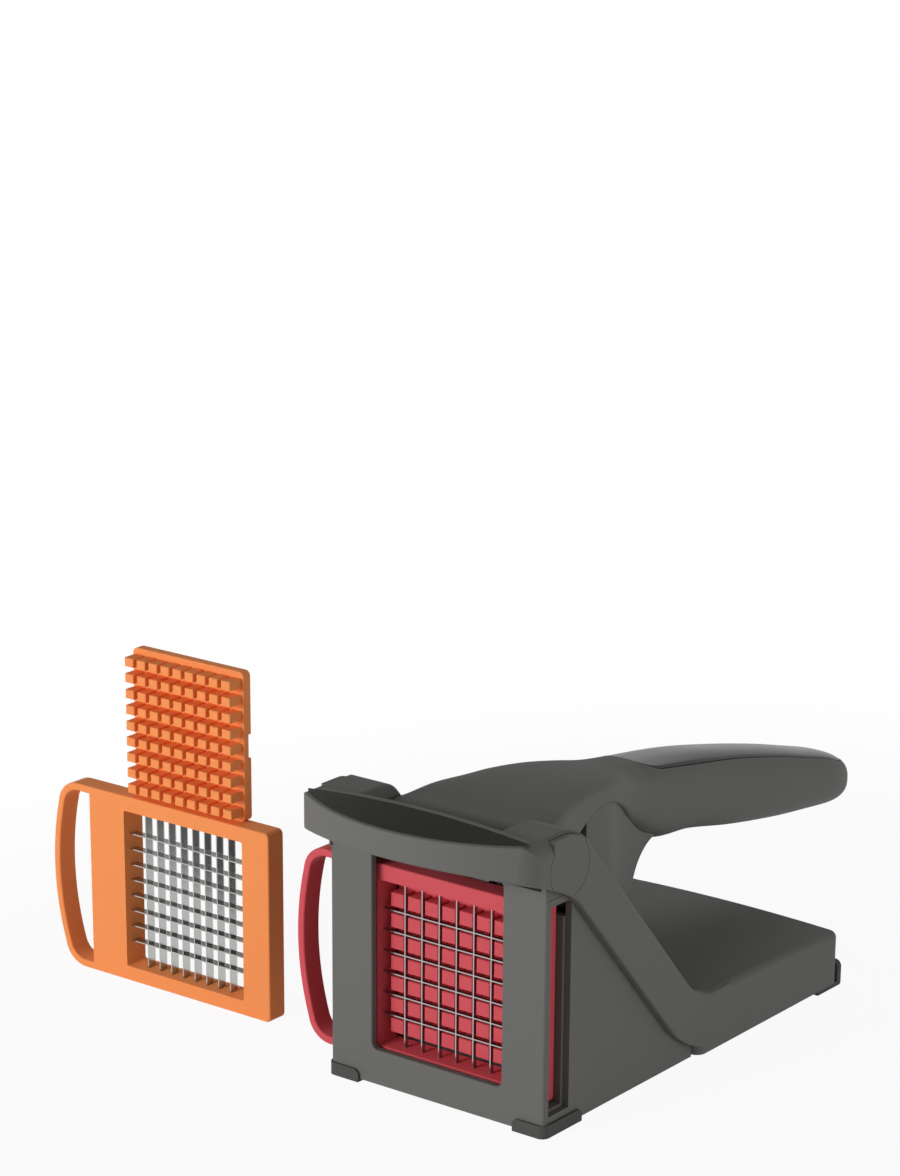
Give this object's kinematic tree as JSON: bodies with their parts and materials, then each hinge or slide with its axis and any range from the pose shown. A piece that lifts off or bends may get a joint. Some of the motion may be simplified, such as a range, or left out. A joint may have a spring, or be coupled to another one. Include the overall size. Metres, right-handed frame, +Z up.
{
  "type": "french fry cutter",
  "caption": "Lever-operated french fry cutter with a slide-out blade cassette, toothed pusher, padded stand frame and a spare cassette with its own pusher.",
  "frame": {"origin": "on the table, in the middle plane of the machine, under the front face of the front panel", "axes": "+Y from the front window towards the end of the handle, +Z up, +X across, away from the spare cassette"},
  "size_m": [0.3011, 0.3422, 0.1568],
  "materials": {
    "frame_plastic": "satin moulded plastic",
    "grip_plastic": "soft matt",
    "red_plastic": "satin moulded plastic",
    "orange_plastic": "satin moulded plastic",
    "blade_steel": "ground stainless steel",
    "pin_steel": "turned steel",
    "screw_steel": "zinc-plated steel",
    "foot_rubber": "matt rubber"
  },
  "bodies": {
    "machine": {"housing": "frame_plastic", "stand_frame": "frame_plastic", "bow_inlay": "grip_plastic", "potato_trough": "frame_plastic", "pad_base_plate": "frame_plastic", "base_screws": "screw_steel", "hinge_pin": "pin_steel", "hinge_cap_left": "frame_plastic", "hinge_cap_right": "frame_plastic", "front_foot_left": "foot_rubber", "front_foot_right": "foot_rubber", "rear_foot_left": "foot_rubber", "rear_foot_right": "foot_rubber", "cassette_frame_thick": "red_plastic", "blade_retainer_thick": "red_plastic", "vertical_blades_thick": "blade_steel", "horizontal_blades_thick": "blade_steel"},
    "lever": {"lever_shell": "frame_plastic", "grip_inlay": "grip_plastic", "lever_underside_cover": "frame_plastic", "pusher_block": "frame_plastic", "pusher_plate_thick": "red_plastic"},
    "spare_cassette": {"cassette_frame_thin": "orange_plastic", "blade_retainer_thin": "orange_plastic", "vertical_blades_thin": "blade_steel", "horizontal_blades_thin": "blade_steel"},
    "spare_pusher": {"pusher_plate_thin": "orange_plastic"}
  },
  "joints": [
    {"name": "lever_hinge", "type": "hinge", "parent": "machine", "child": "lever", "pos_m": [0, 0.01, 0.1166], "axis": [1, 0, 0], "range_deg": [0, 75]},
    {"name": "spare_cassette_lift", "type": "slide", "parent": "machine", "child": "spare_cassette", "axis": [0, 0, 1], "range_m": [0, 0.1]},
    {"name": "spare_pusher_lift", "type": "slide", "parent": "spare_cassette", "child": "spare_pusher", "axis": [0, 0, 1], "range_m": [0, 0.06]}
  ]
}
